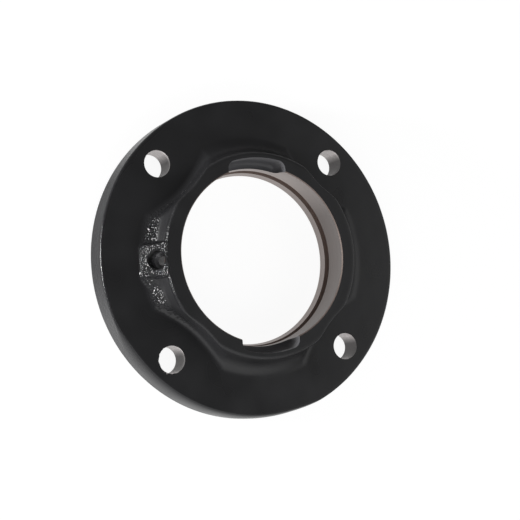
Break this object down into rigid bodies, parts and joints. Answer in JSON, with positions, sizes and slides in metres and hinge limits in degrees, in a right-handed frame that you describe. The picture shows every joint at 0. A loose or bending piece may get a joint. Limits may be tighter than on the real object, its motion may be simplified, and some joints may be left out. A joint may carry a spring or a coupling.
{
  "type": "flanged bearing housing",
  "caption": "Round flanged cast iron housing with a ball-shaped seat for an insert bearing, loading slots, a slanted grease port and bolt holes in its flange.",
  "frame": {"origin": "on the seat's axis, at the flat mounting face behind the flange", "axes": "+Z along the seat's axis, from the mounting face to the boss's front face; -X towards the grease port; the loading slots lie at +Y and -Y"},
  "size_m": [0.1616, 0.1616, 0.0275],
  "materials": {
    "painted_casting": "gloss black paint over rough cast iron, with bare machined metal in the seat and the bolt holes"
  },
  "bodies": {
    "root": {"housing": "painted_casting"}
  },
  "joints": []
}
